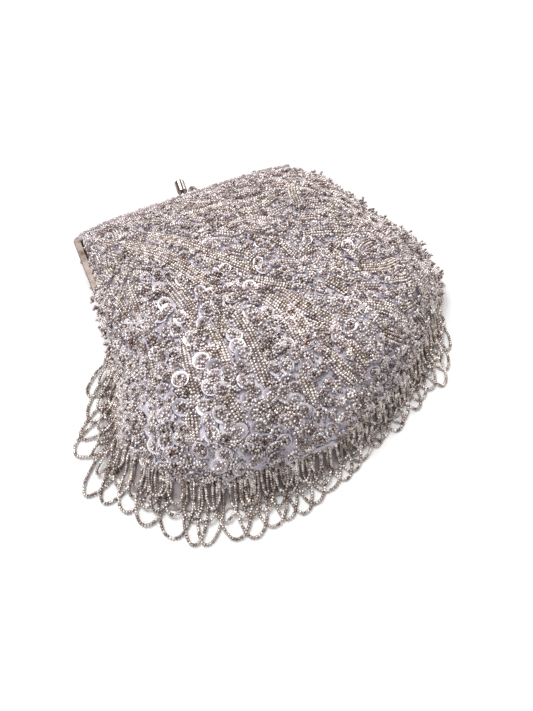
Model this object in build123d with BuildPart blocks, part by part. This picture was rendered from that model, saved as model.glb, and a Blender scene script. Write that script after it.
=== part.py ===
from build123d import *
import math
import os

os.makedirs("parts", exist_ok=True)

# ----------------------------------------------------------------------------
# Evening bag, lying on its back.  +Z is the front face, +Y runs from the bottom
# of the bag to the metal frame, X is the width.  All sizes in millimetres.
# "d" is always a distance below the frame's top edge.
# ----------------------------------------------------------------------------

# --- driving dimensions ------------------------------------------------------
FRAME_W = 146.0          # outer width of the mouth frame at its top bar
ARM_LEN = 48.0           # top edge of the frame to the hinge rivets
ARM_FLARE = 1.0          # how far each arm leans outward at the rivet
FRAME_BAND = 4.2         # width of the frame metal seen from the front
HALF_T = 3.7             # thickness of one frame half
MATE_GAP = 0.2           # gap between the closed halves
FRAME_MID = 12.5         # height of the parting plane above the table
GROOVE_W = 1.5           # slot that grips the fabric edge
GROOVE_D = 2.4

BODY_LEN = 185.0         # top edge of the frame to the bottom seam
BODY_H = 46.0            # height of the front crown above the table
SEAM_Z = 11.0            # height of the side seam below the hinges
# The soft pouch has slumped to its right, so its two sides differ:
# (distance below the top edge, half width)
RIGHT_SIDE = [(0, 73.0), (20, 85.0), (48, 93.0), (70, 102.0), (92, 111.0), (118, 108.0),
              (139, 92.0), (158, 68.0), (172, 44.0), (181, 20.0), (185, 3.0)]
LEFT_SIDE = [(0, 73.0), (20, 73.4), (48, 74.0), (70, 75.5), (92, 77.5), (118, 82.5),
             (139, 88.0), (158, 80.0), (172, 66.0), (181, 45.0), (185, 18.0)]

BEAD_T = 2.0             # bead and sequin layer
SATIN_T = 0.6            # ground fabric
LINING_T = 0.6           # lining
FRINGE_FROM = (106.0, 84.0)    # the fringe starts this far below the top edge, right and left
# reach of the looped fringe beyond the seam: (share of the way round from the
# right end to the left end, reach)
FRINGE_REACH = [(0.0, 9.0), (0.2, 18.0), (0.4, 15.5), (0.6, 20.0), (0.8, 24.0), (1.0, 19.0)]
FRINGE_T = 4.2           # height of the fringe where it lies on the table

KNOB_D = 6.6             # clasp barrel
KNOB_L = 8.0
STEM_D = 2.0
REAR_OUT = 10.5          # bare stem between the frame and the barrel
FRONT_OUT = 8.0
CLASP_PITCH = 9.2        # distance between the two stems along the frame
CLASP_MID = 5.4          # middle of the pair, right of the frame's centre line
REAR_LEAN = 18.0         # lean of the rear stem over the front half
FRONT_LEAN = 22.0        # lean of the front stem over the rear half
REAR_TILT = 6.0          # sideways lean of each stem, to the right
FRONT_TILT = 0.0

RING_AT = 53.0           # chain eyes, from the frame's centre line
RING_R = 2.1             # ring, to the middle of its wire
RING_WIRE = 0.42         # wire radius
EYE_R = 0.8              # hole in the eye
EYE_RISE = 7.4           # centre of the hole above the frame's top edge
EYE_T = 1.0              # thickness of the eye

EAR_R = 3.2              # hinge ears
EAR_T = 1.2
PIN_R = 1.1              # hinge rivet
PIN_FIT = 0.05
OPEN_ANGLE = 60.0        # how far the front half swings

# --- row origin: centre of the whole outline, on the table -------------------
X0 = -3.6                # x of the frame's centre line
Y_TOP = 92.21            # y of the frame's top edge
HINGE_Y = Y_TOP - ARM_LEN
FLAP_END = HINGE_Y + 10.0      # lower edge of the fabric that swings with the frame
POUCH_END = HINGE_Y - 21.0     # upper edge of the fabric that stays with the pouch

FRONT_LO = FRAME_MID + MATE_GAP / 2          # front half of the frame, z range
FRONT_HI = FRONT_LO + HALF_T
REAR_HI = FRAME_MID - MATE_GAP / 2           # rear half of the frame, z range
REAR_LO = REAR_HI - HALF_T


def smooth(t):
    t = max(0.0, min(1.0, t))
    return t * t * (3 - 2 * t)


def follow(table, d):
    """monotone cubic through a table of (d, value)"""
    n = len(table)
    if d <= table[0][0]:
        return table[0][1]
    if d >= table[-1][0]:
        return table[-1][1]
    slopes = [(table[i + 1][1] - table[i][1]) / (table[i + 1][0] - table[i][0]) for i in range(n - 1)]
    m = [slopes[0]]
    for i in range(1, n - 1):
        a, b = slopes[i - 1], slopes[i]
        m.append(0.0 if a * b <= 0 else 2 * a * b / (a + b))
    m.append(slopes[-1])
    for i in range(n - 1):
        if d <= table[i + 1][0]:
            h = table[i + 1][0] - table[i][0]
            t = (d - table[i][0]) / h
            return ((2 * t**3 - 3 * t**2 + 1) * table[i][1] + (t**3 - 2 * t**2 + t) * h * m[i]
                    + (-2 * t**3 + 3 * t**2) * table[i + 1][1] + (t**3 - t**2) * h * m[i + 1])


def side(d, sign):
    return follow(RIGHT_SIDE if sign > 0 else LEFT_SIDE, d)


def frame_half(d):
    return FRAME_W / 2 + ARM_FLARE * min(1.0, d / ARM_LEN)


def lining_side(d, sign):
    """the lining is inside the frame's arms, then opens out with the pouch"""
    t = smooth((d - 54.0) / 22.0)
    a = frame_half(d) - FRAME_BAND - 0.5
    return a + (side(d, sign) - 4.2 - a) * t


def crown(d):
    """height of the front surface on the centre line"""
    z0 = FRONT_HI + 4.6
    up = z0 + (BODY_H - z0) * math.sin(math.pi / 2 * min(1.0, max(0.0, d) / 86.0))
    s = min(1.0, max(0.0, (d - 0.6 * BODY_LEN) / (0.4 * BODY_LEN)))
    low = SEAM_Z + 3.6
    return low + (up - low) * max(0.0, 1 - s**3.5) ** 0.6


def belly(d):
    """height of the back surface above the table on the centre line"""
    return -0.25 + 4.6 * (1 - smooth(d / 34.0)) + 3.2 * smooth((d - 0.86 * BODY_LEN) / (0.14 * BODY_LEN))


def seam(d):
    """height of the parting line of front and back"""
    return FRAME_MID + (SEAM_Z - FRAME_MID) * smooth((d - 50.0) / 60.0)


def front_edge(d):
    """lower edge of the front fabric: on the frame's face, then down to the seam"""
    return (FRONT_HI + 0.55) + (seam(d) + 0.25 - FRONT_HI - 0.55) * smooth((d - 51.5) / 14.0)


def back_edge(d):
    """upper edge of the back fabric: on the frame's back, then up to the seam"""
    return (REAR_LO - 0.55) + (seam(d) - 0.25 - REAR_LO + 0.55) * smooth((d - 51.5) / 14.0)


STEPS = [math.sin(math.radians(-90 + 15 * i)) for i in range(13)]


def arch(d, wl, wr, base, top, q, p):
    """points of one cross-section curve, left to right"""
    out = []
    for u in STEPS:
        z = base + (top - base) * max(0.0, 1 - abs(u) ** q) ** p
        out.append((X0 + (u * wr if u > 0 else u * wl), z))
    return out


def front_arch(d, inset):
    return arch(d, side(d, -1) - inset, side(d, 1) - inset, front_edge(d), crown(d) - inset, 3.6, 0.75)


def back_arch(d, inset):
    return arch(d, side(d, -1) - inset, side(d, 1) - inset, back_edge(d), belly(d) + inset, 4.0, 0.6)


def front_lining_arch(d, inset):
    return arch(d, lining_side(d, -1) - inset, lining_side(d, 1) - inset,
                seam(d) + 0.3, crown(d) - BEAD_T - SATIN_T - 1.1 - inset, 3.6, 0.75)


def back_lining_arch(d, inset):
    return arch(d, lining_side(d, -1) - inset, lining_side(d, 1) - inset,
                seam(d) - 0.3, belly(d) + BEAD_T + SATIN_T + 1.7 + inset, 4.0, 0.6)


def cut_plane(d):
    return Plane(origin=(0, Y_TOP - d, 0), x_dir=(1, 0, 0), z_dir=(0, -1, 0))


END = 0.985 * BODY_LEN
STATIONS = [0.4, 9.0, 20.0, 34.0, 48.0, 62.0, 78.0, 96.0, 114.0, 128.0, 140.0, 150.0, 158.0, 165.0, 171.0, 175.5]


def shell(curve, wall, first, start, past, end):
    """a fabric layer: lofted through cross-sections, and hollowed from the open side.
    past is how far the hollow reaches beyond the open side (up or down)."""
    with BuildPart() as layer:
        for d in [start] + [s for s in STATIONS if s > start + 4.0] + [end]:
            with BuildSketch(cut_plane(d)):
                with BuildLine():
                    p = curve(d, first)
                    Spline(*p)
                    Line(p[-1], p[0])
                make_face()
        loft(ruled=True)
        for d in [start - 1.5] + [s for s in STATIONS if s > start + 4.0] + [end - wall]:
            with BuildSketch(cut_plane(d)):
                with BuildLine():
                    p = curve(d, first + wall)
                    Spline(*p)
                    Polyline(p[-1], (p[-1][0], p[-1][1] + past), (p[0][0], p[0][1] + past), p[0])
                make_face()
        loft(ruled=True, mode=Mode.SUBTRACT)
    return layer


def keep_below(y):
    return Plane(origin=(0, y, 0), z_dir=(0, -1, 0))


def keep_above(y):
    return Plane(origin=(0, y, 0), z_dir=(0, 1, 0))


def finish(builder, label):
    builder.part.label = label
    export_step(builder.part, "parts/" + label + ".step")
    solids = builder.part.solids()
    box = builder.part.bounding_box()
    print(f"{label:24s} solids {len(solids)} volume {sum(s.volume for s in solids):10.1f} "
          f"x {box.min.X:7.1f}..{box.max.X:7.1f} y {box.min.Y:7.1f}..{box.max.Y:7.1f} z {box.min.Z:6.1f}..{box.max.Z:6.1f}")


# =============================================================================
# Fabric
# =============================================================================

# --- front: each layer is cut into the flap that swings with the front frame,
# --- and the pouch below the hinges; a fold of all layers lies between them ----
front_bead_layer = shell(front_arch, BEAD_T, 0.0, 0.4, -2.0, END)
front_satin_layer = shell(front_arch, SATIN_T, BEAD_T + 0.4, 0.6, -2.0, END - BEAD_T - 0.8)
front_lining_layer = shell(front_lining_arch, LINING_T, 0.0, FRAME_BAND + 0.5, -2.0, END - BEAD_T - SATIN_T - 1.5)

with BuildPart() as front_flap_beadwork:
    add(front_bead_layer.part)
    split(bisect_by=keep_above(FLAP_END), keep=Keep.TOP)
with BuildPart() as front_fold:
    add(front_bead_layer.part)
    split(bisect_by=keep_below(FLAP_END - 0.2), keep=Keep.TOP)
    split(bisect_by=keep_above(POUCH_END + 0.2), keep=Keep.TOP)
with BuildPart() as front_beadwork:
    add(front_bead_layer.part)
    split(bisect_by=keep_below(POUCH_END), keep=Keep.TOP)

with BuildPart() as front_flap_satin:
    add(front_satin_layer.part)
    split(bisect_by=keep_above(FLAP_END), keep=Keep.TOP)
with BuildPart() as front_satin:
    add(front_satin_layer.part)
    split(bisect_by=keep_below(POUCH_END), keep=Keep.TOP)

with BuildPart() as front_flap_lining:
    add(front_lining_layer.part)
    split(bisect_by=keep_above(FLAP_END), keep=Keep.TOP)
with BuildPart() as front_lining:
    add(front_lining_layer.part)
    split(bisect_by=keep_below(POUCH_END), keep=Keep.TOP)

finish(front_flap_beadwork, "front_flap_beadwork")
finish(front_fold, "front_fold")
finish(front_beadwork, "front_beadwork")
finish(front_flap_satin, "front_flap_satin")
finish(front_satin, "front_satin")
finish(front_flap_lining, "front_flap_lining")
finish(front_lining, "front_lining")

# --- back ---------------------------------------------------------------------
rear_bead_layer = shell(back_arch, BEAD_T, 0.0, 0.4, 2.0, END)
with BuildPart() as rear_beadwork:
    add(rear_bead_layer.part)
    # the back is flattened where it rests on the table
    split(bisect_by=Plane(origin=(0, 0, 0), z_dir=(0, 0, 1)), keep=Keep.TOP)
rear_satin = shell(back_arch, SATIN_T, BEAD_T + 0.8, 0.6, 2.0, END - BEAD_T - 0.8)
rear_lining = shell(back_lining_arch, LINING_T, 0.0, FRAME_BAND + 0.5, 2.0, END - BEAD_T - SATIN_T - 1.5)
finish(rear_beadwork, "rear_beadwork")
finish(rear_satin, "rear_satin")
finish(rear_lining, "rear_lining")

# --- slip pocket on the back lining --------------------------------------------
POCKET_Z = BEAD_T + SATIN_T + 1.7 + LINING_T + 0.3
with BuildPart() as lining_pocket:
    with BuildSketch(Plane.XY.offset(POCKET_Z)):
        with Locations((X0, Y_TOP - 88.0)):
            RectangleRounded(78.0, 58.0, 7.0)
    extrude(amount=0.8)
finish(lining_pocket, "lining_pocket")

# --- looped fringe: it leaves the seam and lies on the table --------------------


def seam_line(offset):
    """points of the pouch outline, moved outward, from the right side round the
    bottom to the left side; offset None gives the fringe's own reach"""
    right, left = ([start + (BODY_LEN - start) * math.sin(math.radians(90 * i / 14)) for i in range(14)]
                   for start in FRINGE_FROM)
    base = [(X0 + side(d, 1), Y_TOP - d) for d in right] + [(X0 - 7.0, Y_TOP - BODY_LEN - 0.6)]
    base += [(X0 - side(d, -1), Y_TOP - d) for d in reversed(left)]
    run = [0.0]
    for (ax, ay), (bx, by) in zip(base, base[1:]):
        run.append(run[-1] + math.hypot(bx - ax, by - ay))
    out = []
    for i, (x, y) in enumerate(base):
        ax, ay = base[max(0, i - 1)]
        bx, by = base[min(len(base) - 1, i + 1)]
        tx, ty = bx - ax, by - ay
        ln = math.hypot(tx, ty)
        reach = follow(FRINGE_REACH, run[i] / run[-1]) if offset is None else offset
        # travelling down the right side, the outside is on the left hand
        out.append((x - ty / ln * reach, y + tx / ln * reach))
    return out


def fringe_band(inner, outer):
    return seam_line(inner), seam_line(outer)


with BuildPart() as bead_fringe:
    a, b = fringe_band(0.6, None)
    with BuildSketch(Plane.XY.offset(0.3)):
        with BuildLine():
            Spline(*a)
            Line(a[-1], b[-1])
            Spline(*reversed(b))
            Line(b[0], a[0])
        make_face()
    extrude(amount=FRINGE_T)
    a, b = fringe_band(0.6, 4.0)
    with BuildSketch(Plane.XY.offset(0.3)):
        with BuildLine():
            Spline(*a)
            Line(a[-1], b[-1])
            Spline(*reversed(b))
            Line(b[0], a[0])
        make_face()
    extrude(amount=SEAM_Z + 1.0)
finish(bead_fringe, "bead_fringe")

# =============================================================================
# Metal
# =============================================================================


def u_band(outset, band):
    """a U of the given band width, its outer edge moved in by outset"""
    ow, fl = FRAME_W / 2 - outset, ARM_FLARE
    iw = ow - band
    top = Y_TOP - outset
    end = HINGE_Y + 2.0
    k = ARM_FLARE / ARM_LEN
    xo = ow + k * (Y_TOP - end)
    xi = iw + k * (Y_TOP - end)
    return [(X0 - ow, top), (X0 + ow, top), (X0 + xo, end), (X0 + xi, end),
            (X0 + iw, top - band), (X0 - iw, top - band), (X0 - xi, end), (X0 - xo, end)]


EAR_X = FRAME_W / 2 + ARM_FLARE - 1.6    # outer ear starts here (front half)
OUTER_EAR = (EAR_X, EAR_X + EAR_T)
INNER_EAR = (EAR_X - 0.3 - EAR_T, EAR_X - 0.3)
SPLIT_X = EAR_X - 0.15


def frame_half_part(lo, hi, ear, cut_lo, cut_hi, up):
    with BuildPart() as half:
        with BuildSketch(Plane.XY.offset(lo)):
            with BuildLine():
                Polyline(*u_band(0, FRAME_BAND), close=True)
            make_face()
        extrude(amount=hi - lo)
        # round the outer corners of the U and soften its face
        fillet(half.edges().filter_by(Axis.Z).group_by(Axis.Y)[-1], 4.0)
        face_edges = half.faces().sort_by(Axis.Z)[-1 if up else 0].edges()
        chamfer(face_edges, 0.5)
        # slot for the fabric edge, open to the inside of the U
        with BuildSketch(Plane.XY.offset((lo + hi - GROOVE_W) / 2)):
            with BuildLine():
                Polyline(*u_band(FRAME_BAND - GROOVE_D, GROOVE_D + 1.0), close=True)
            make_face()
        extrude(amount=GROOVE_W, mode=Mode.SUBTRACT)
        for sgn in (-1, 1):
            # the other half's ear turns in this pocket
            with BuildSketch(Plane(origin=(X0 + sgn * cut_lo, 0, 0), x_dir=(0, 1, 0), z_dir=(1, 0, 0))):
                with Locations((HINGE_Y, FRAME_MID)):
                    Circle(EAR_R + 0.4)
            extrude(amount=sgn * (cut_hi - cut_lo), mode=Mode.SUBTRACT)
            # ear with its rivet hole
            x0 = ear[0] if sgn > 0 else -ear[1]
            with BuildSketch(Plane(origin=(X0 + x0, 0, 0), x_dir=(0, 1, 0), z_dir=(1, 0, 0))):
                with Locations((HINGE_Y, FRAME_MID)):
                    Circle(EAR_R)
                with BuildLine():
                    z_near = FRAME_MID + (0.1 if up else -0.1)
                    z_far = FRAME_MID + (2.9 if up else -2.9)
                    Polyline((HINGE_Y, z_near), (HINGE_Y + 7.0, z_near), (HINGE_Y + 7.0, z_far), (HINGE_Y, z_far), close=True)
                make_face()
                with Locations((HINGE_Y, FRAME_MID)):
                    Circle(PIN_R + PIN_FIT, mode=Mode.SUBTRACT)
            extrude(amount=ear[1] - ear[0])
    return half


front_frame = frame_half_part(FRONT_LO, FRONT_HI, OUTER_EAR, FRAME_W / 2 - 4.0, SPLIT_X, True)
rear_frame = frame_half_part(REAR_LO, REAR_HI, INNER_EAR, SPLIT_X, FRAME_W / 2 + ARM_FLARE + 2.0, False)
finish(front_frame, "front_frame")
finish(rear_frame, "rear_frame")

# --- hinge rivets ---------------------------------------------------------------
for name, sgn in (("left_hinge_rivet", -1), ("right_hinge_rivet", 1)):
    with BuildPart() as rivet:
        with BuildSketch(Plane(origin=(X0 + sgn * (INNER_EAR[0] - 0.65), 0, 0), x_dir=(0, 1, 0), z_dir=(sgn, 0, 0))):
            with Locations((HINGE_Y, sgn * FRAME_MID)):
                Circle(1.9)
        extrude(amount=0.6)
        with BuildSketch(Plane(origin=(X0 + sgn * (INNER_EAR[0] - 0.2), 0, 0), x_dir=(0, 1, 0), z_dir=(sgn, 0, 0))):
            with Locations((HINGE_Y, sgn * FRAME_MID)):
                Circle(PIN_R)
        extrude(amount=OUTER_EAR[1] - INNER_EAR[0] + 0.3)
        with BuildSketch(Plane(origin=(X0 + sgn * (OUTER_EAR[1] + 0.05), 0, 0), x_dir=(0, 1, 0), z_dir=(sgn, 0, 0))):
            with Locations((HINGE_Y, sgn * FRAME_MID)):
                Circle(1.9)
        extrude(amount=0.8)
        fillet(rivet.faces().sort_by(Axis.X)[-1 if sgn > 0 else 0].edges(), 0.5)
    finish(rivet, name)

# --- kiss-lock clasp: each half carries a stem and a barrel ----------------------


def clasp(x, z, lean, tilt, out, stem_name, knob_name):
    a, b = math.radians(lean), math.radians(tilt)
    # stem direction: out of the frame's top edge, leaning over the other half
    axis = Vector(math.sin(b), math.cos(b) * math.cos(a), math.cos(b) * math.sin(a))
    foot = Vector(X0 + x, Y_TOP, z)

    def along(s):
        o = foot + axis * s
        return Plane(origin=(o.X, o.Y, o.Z), x_dir=(1, 0, 0) if abs(axis.X) < 1e-6 else (axis.Y, -axis.X, 0),
                     z_dir=(axis.X, axis.Y, axis.Z))

    with BuildPart() as stem:
        with BuildSketch(along(-1.5)):
            Circle(STEM_D / 2)
        extrude(amount=1.5 + out + 3.6)
        split(bisect_by=Plane(origin=(0, Y_TOP, 0), z_dir=(0, 1, 0)), keep=Keep.TOP)
        # collar against the frame's edge
        with BuildSketch(Plane(origin=(foot.X, Y_TOP, foot.Z), x_dir=(1, 0, 0), z_dir=(0, 1, 0))):
            Circle(1.7)
        extrude(amount=0.7)
        chamfer(stem.faces().filter_by(GeomType.PLANE).group_by(Axis.Y)[1].edges().filter_by(GeomType.CIRCLE), 0.15)
    finish(stem, stem_name)

    with BuildPart() as knob:
        with BuildSketch(along(out)):
            Circle(KNOB_D / 2)
        extrude(amount=KNOB_L)
        ends = knob.faces().filter_by(GeomType.PLANE)
        fillet(ends.edges(), 0.7)
        with BuildSketch(along(out - 0.5)):
            Circle(STEM_D / 2 + 0.02)
        extrude(amount=0.5 + 3.8, mode=Mode.SUBTRACT)
    finish(knob, knob_name)


clasp(CLASP_MID - CLASP_PITCH / 2, (REAR_LO + REAR_HI) / 2, REAR_LEAN, REAR_TILT, REAR_OUT, "rear_clasp_stem", "rear_clasp_knob")
clasp(CLASP_MID + CLASP_PITCH / 2, (FRONT_LO + FRONT_HI) / 2, -FRONT_LEAN, FRONT_TILT, FRONT_OUT, "front_clasp_stem", "front_clasp_knob")

# --- chain eyes and their rings, on the rear half ---------------------------------
EYE_Y = Y_TOP + EYE_RISE
EYE_Z = (REAR_LO + REAR_HI) / 2
for word, sgn in (("left", -1), ("right", 1)):
    cx = X0 + sgn * RING_AT
    with BuildPart() as eye:
        with BuildSketch(Plane(origin=(cx - EYE_T / 2, 0, 0), x_dir=(0, 1, 0), z_dir=(1, 0, 0))):
            with Locations((EYE_Y, EYE_Z)):
                Circle(1.45)
            with Locations((Y_TOP + EYE_RISE / 2, EYE_Z)):
                Rectangle(EYE_RISE, 1.9)
            with Locations((Y_TOP + 0.4, EYE_Z)):
                Rectangle(0.8, 3.2)
            with Locations((EYE_Y, EYE_Z)):
                Circle(EYE_R, mode=Mode.SUBTRACT)
        extrude(amount=EYE_T)
        split(bisect_by=Plane(origin=(0, Y_TOP, 0), z_dir=(0, 1, 0)), keep=Keep.TOP)
    finish(eye, word + "_ring_eye")

    # the right ring stands out from the edge, the left one hangs down behind it
    if sgn > 0:
        hub, spin, cut = (cx, EYE_Y + RING_R, EYE_Z), (0, 0, 1), (0, 1, 0)
    else:
        hub, spin, cut = (cx, EYE_Y, EYE_Z - RING_R), (0, 1, 0), (0, 0, 1)
    with BuildPart() as ring:
        with BuildSketch(Plane(origin=hub, x_dir=(1, 0, 0), z_dir=cut)):
            with Locations((RING_R, 0)):
                Circle(RING_WIRE)
        revolve(axis=Axis(hub, spin))
    finish(ring, word + "_chain_ring")
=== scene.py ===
# Evening bag, lying on its back.  Everything is worked out in millimetres in the
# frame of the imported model, and turned into metres when a mesh is made.
import bpy
import math
import numpy as np
from mathutils import Vector, Matrix


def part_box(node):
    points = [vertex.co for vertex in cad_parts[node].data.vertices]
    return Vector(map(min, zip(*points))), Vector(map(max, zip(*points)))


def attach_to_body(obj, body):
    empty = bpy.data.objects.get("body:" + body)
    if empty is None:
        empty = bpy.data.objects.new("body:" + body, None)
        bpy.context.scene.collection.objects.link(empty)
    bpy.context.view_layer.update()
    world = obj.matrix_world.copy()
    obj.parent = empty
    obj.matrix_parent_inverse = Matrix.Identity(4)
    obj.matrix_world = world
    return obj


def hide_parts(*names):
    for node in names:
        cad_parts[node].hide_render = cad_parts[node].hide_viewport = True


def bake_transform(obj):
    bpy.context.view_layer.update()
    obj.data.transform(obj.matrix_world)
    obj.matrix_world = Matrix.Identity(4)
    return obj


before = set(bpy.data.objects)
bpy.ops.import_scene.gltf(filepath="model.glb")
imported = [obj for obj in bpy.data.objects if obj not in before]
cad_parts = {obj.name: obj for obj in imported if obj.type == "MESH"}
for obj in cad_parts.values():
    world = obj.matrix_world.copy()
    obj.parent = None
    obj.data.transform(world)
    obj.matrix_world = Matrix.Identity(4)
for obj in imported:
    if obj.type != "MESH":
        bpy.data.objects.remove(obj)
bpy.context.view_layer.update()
MM = 0.001
RNG = np.random.default_rng(7341)

# ---------------------------------------------------------------------------
# The bag's own dimensions
# ---------------------------------------------------------------------------
rf_lo, rf_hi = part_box("rear_frame")
ff_lo, ff_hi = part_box("front_frame")
X0 = (rf_lo[0] + rf_hi[0]) / 2 / MM          # centre line of the frame
Y_TOP = ff_hi[1] / MM                        # top edge of the frame
FRAME_W, ARM_LEN, ARM_FLARE, FRAME_BAND = 146.0, 48.0, 1.0, 4.2
HALF_T, MATE_GAP, FRAME_MID = 3.7, 0.2, 12.5
BODY_LEN, BODY_H, SEAM_Z = 185.0, 46.0, 11.0
RIGHT_SIDE = [(0, 73.0), (20, 85.0), (48, 93.0), (70, 102.0), (92, 111.0), (118, 108.0),
              (139, 92.0), (158, 68.0), (172, 44.0), (181, 20.0), (185, 3.0)]
LEFT_SIDE = [(0, 73.0), (20, 73.4), (48, 74.0), (70, 75.5), (92, 77.5), (118, 82.5),
             (139, 88.0), (158, 80.0), (172, 66.0), (181, 45.0), (185, 18.0)]
BEAD_T, SATIN_T, LINING_T = 2.0, 0.6, 0.6
FRINGE_FROM = (106.0, 84.0)
FRINGE_REACH = [(0.0, 9.0), (0.2, 18.0), (0.4, 15.5), (0.6, 20.0), (0.8, 24.0), (1.0, 19.0)]
FRONT_LO = FRAME_MID + MATE_GAP / 2
FRONT_HI = FRONT_LO + HALF_T
REAR_HI = FRAME_MID - MATE_GAP / 2
REAR_LO = REAR_HI - HALF_T


def smooth(t):
    t = np.clip(t, 0.0, 1.0)
    return t * t * (3 - 2 * t)


def follow(table, d):
    n = len(table)
    if d <= table[0][0]:
        return table[0][1]
    if d >= table[-1][0]:
        return table[-1][1]
    sl = [(table[i + 1][1] - table[i][1]) / (table[i + 1][0] - table[i][0]) for i in range(n - 1)]
    m = [sl[0]]
    for i in range(1, n - 1):
        a, b = sl[i - 1], sl[i]
        m.append(0.0 if a * b <= 0 else 2 * a * b / (a + b))
    m.append(sl[-1])
    for i in range(n - 1):
        if d <= table[i + 1][0]:
            h = table[i + 1][0] - table[i][0]
            t = (d - table[i][0]) / h
            return ((2 * t**3 - 3 * t**2 + 1) * table[i][1] + (t**3 - 2 * t**2 + t) * h * m[i]
                    + (-2 * t**3 + 3 * t**2) * table[i + 1][1] + (t**3 - t**2) * h * m[i + 1])


def side(d, sign):
    return follow(RIGHT_SIDE if sign > 0 else LEFT_SIDE, d)


def frame_half(d):
    return FRAME_W / 2 + ARM_FLARE * min(1.0, d / ARM_LEN)


def lining_side(d, sign):
    t = smooth((d - 54.0) / 22.0)
    a = frame_half(d) - FRAME_BAND - 0.5
    return a + (side(d, sign) - 4.2 - a) * t


def crown(d):
    z0 = FRONT_HI + 4.6
    up = z0 + (BODY_H - z0) * math.sin(math.pi / 2 * min(1.0, max(0.0, d) / 86.0))
    s = min(1.0, max(0.0, (d - 0.6 * BODY_LEN) / (0.4 * BODY_LEN)))
    low = SEAM_Z + 3.6
    return low + (up - low) * max(0.0, 1 - s**3.5) ** 0.6


def belly(d):
    return max(0.0, -0.25 + 4.6 * (1 - smooth(d / 34.0)) + 3.2 * smooth((d - 0.86 * BODY_LEN) / (0.14 * BODY_LEN)))


def seam(d):
    return FRAME_MID + (SEAM_Z - FRAME_MID) * smooth((d - 50.0) / 60.0)


def front_edge(d):
    return (FRONT_HI + 0.55) + (seam(d) + 0.25 - FRONT_HI - 0.55) * smooth((d - 51.5) / 14.0)


def back_edge(d):
    return (REAR_LO - 0.55) + (seam(d) - 0.25 - REAR_LO + 0.55) * smooth((d - 51.5) / 14.0)


# ---------------------------------------------------------------------------
# A fabric surface: rows across the bag, each with the same number of points
# at equal steps of arc length.  (s, d): s is the length along the surface from
# the centre line, d the distance below the frame's top edge.
# ---------------------------------------------------------------------------
_lr = np.random.default_rng(501)
LUMPS = [(w, a, p, q) for w, a, p, q in zip([23, 27, 33, 39, 47, 58, 70], _lr.uniform(0, math.pi, 7),
                                            _lr.uniform(0, 6.28, 7), [0.26, 0.28, 0.36, 0.42, 0.5, 0.55, 0.6])]


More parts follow.
